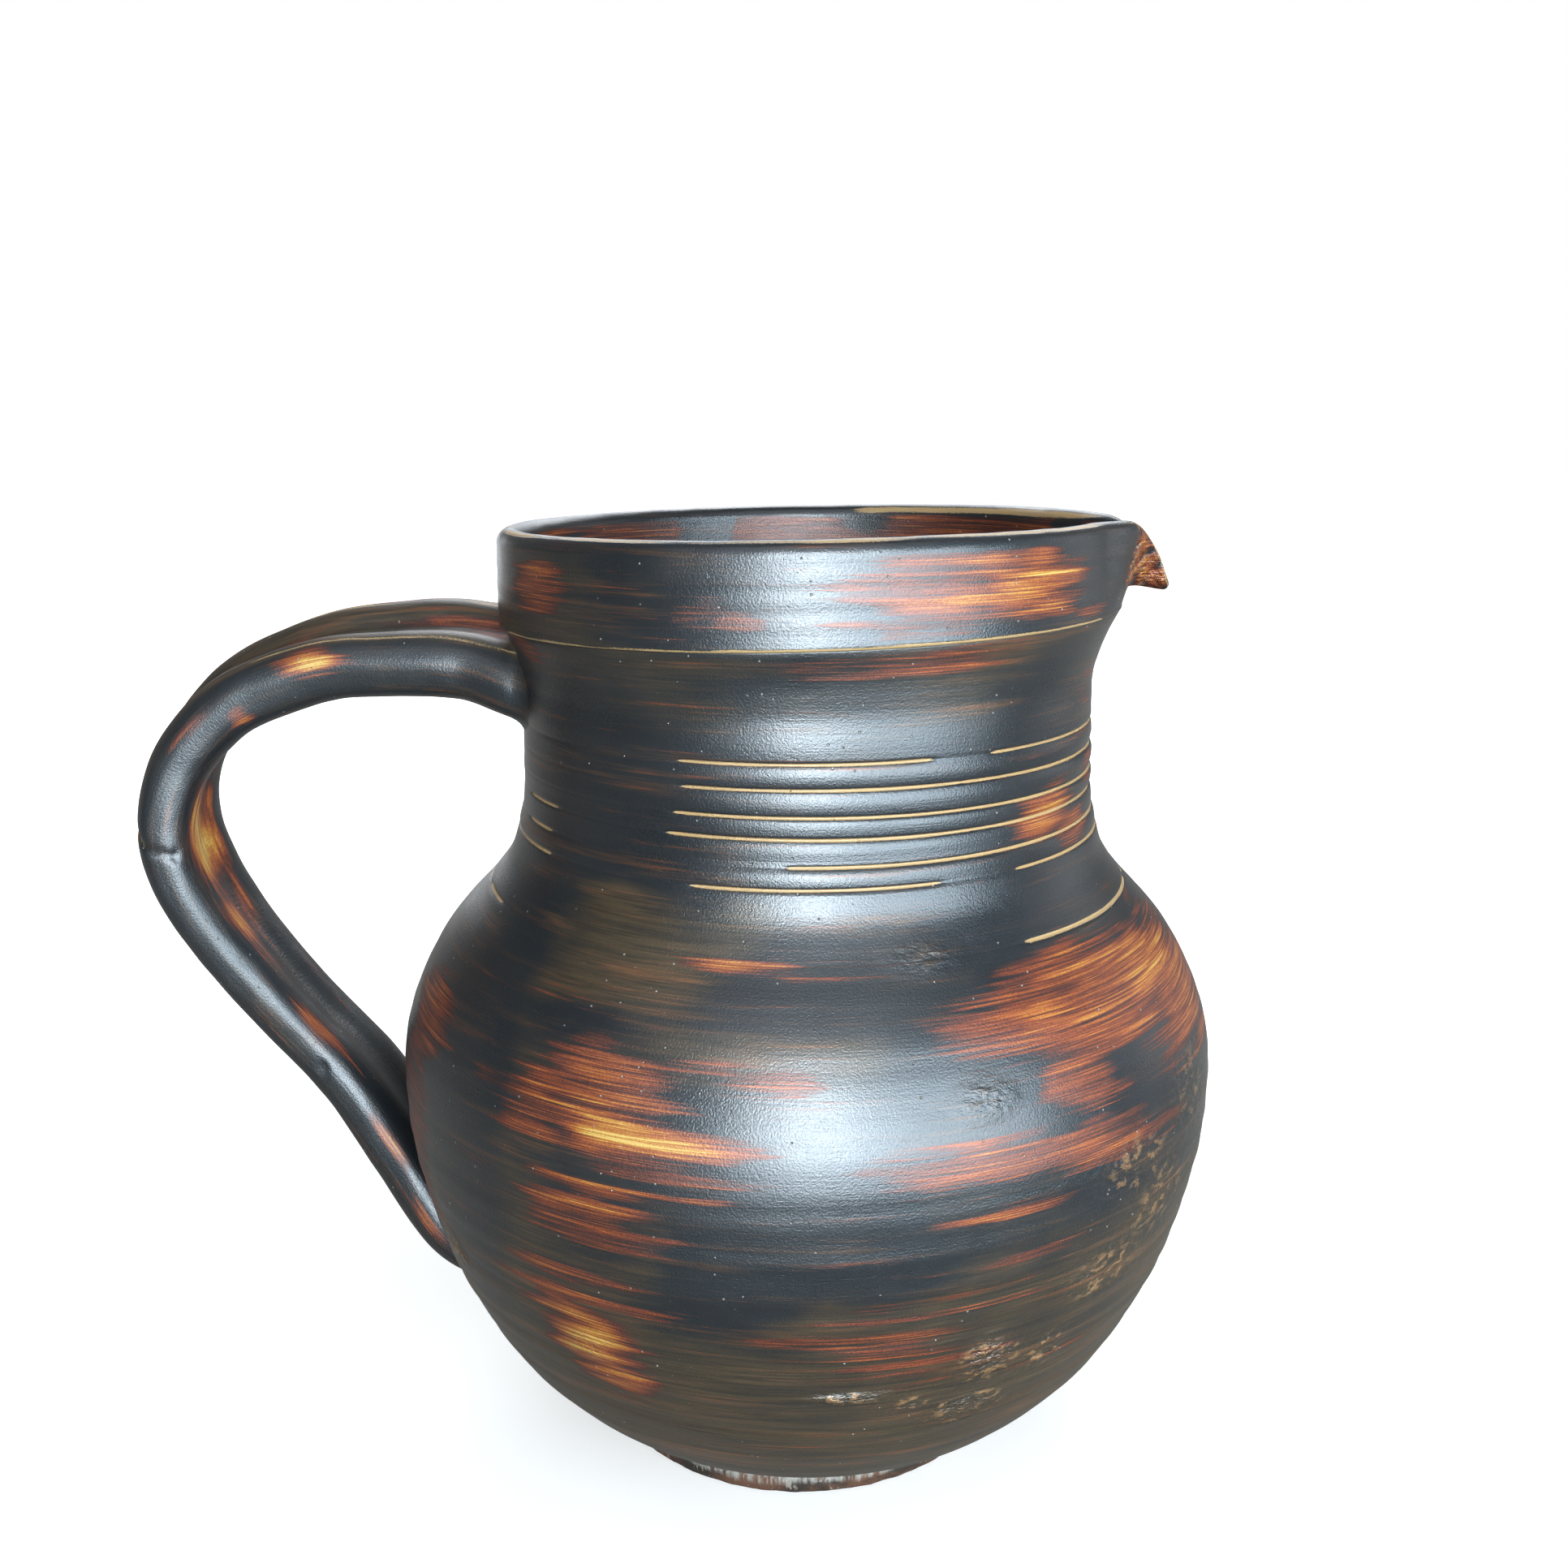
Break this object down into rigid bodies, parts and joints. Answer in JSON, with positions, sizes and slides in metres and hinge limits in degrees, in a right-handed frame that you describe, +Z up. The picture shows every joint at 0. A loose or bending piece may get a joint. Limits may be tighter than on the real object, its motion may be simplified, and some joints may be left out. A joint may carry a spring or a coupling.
{
  "type": "jug",
  "caption": "Round-bellied glazed stoneware jug with an upright ribbed neck, a thick collar, a pulled pouring beak and a grooved strap handle.",
  "frame": {"origin": "centre of the foot ring's resting plane, on the axis the jug was thrown about", "axes": "+Z up along the throwing axis, +X towards the pouring beak, handle towards -X"},
  "size_m": [0.2289, 0.175, 0.2],
  "materials": {
    "bare_stoneware": "dry unglazed fired clay",
    "stoneware": "fired clay under glaze",
    "slip": "fired luting slip under a thin run of glaze",
    "dark_glaze": "satin near-black iron glaze that breaks rust and gold",
    "beak_glaze": "thin iron glaze broken to orange brown",
    "liner_glaze": "glossy dark iron glaze with rust red"
  },
  "bodies": {
    "root": {"foot_ring": "bare_stoneware", "belly": "stoneware", "neck": "stoneware", "collar": "stoneware", "spout": "beak_glaze", "handle": "stoneware", "upper_slip": "slip", "lower_slip": "slip", "outer_glaze": "dark_glaze", "liner_glaze": "liner_glaze", "handle_glaze": "dark_glaze"}
  },
  "joints": []
}
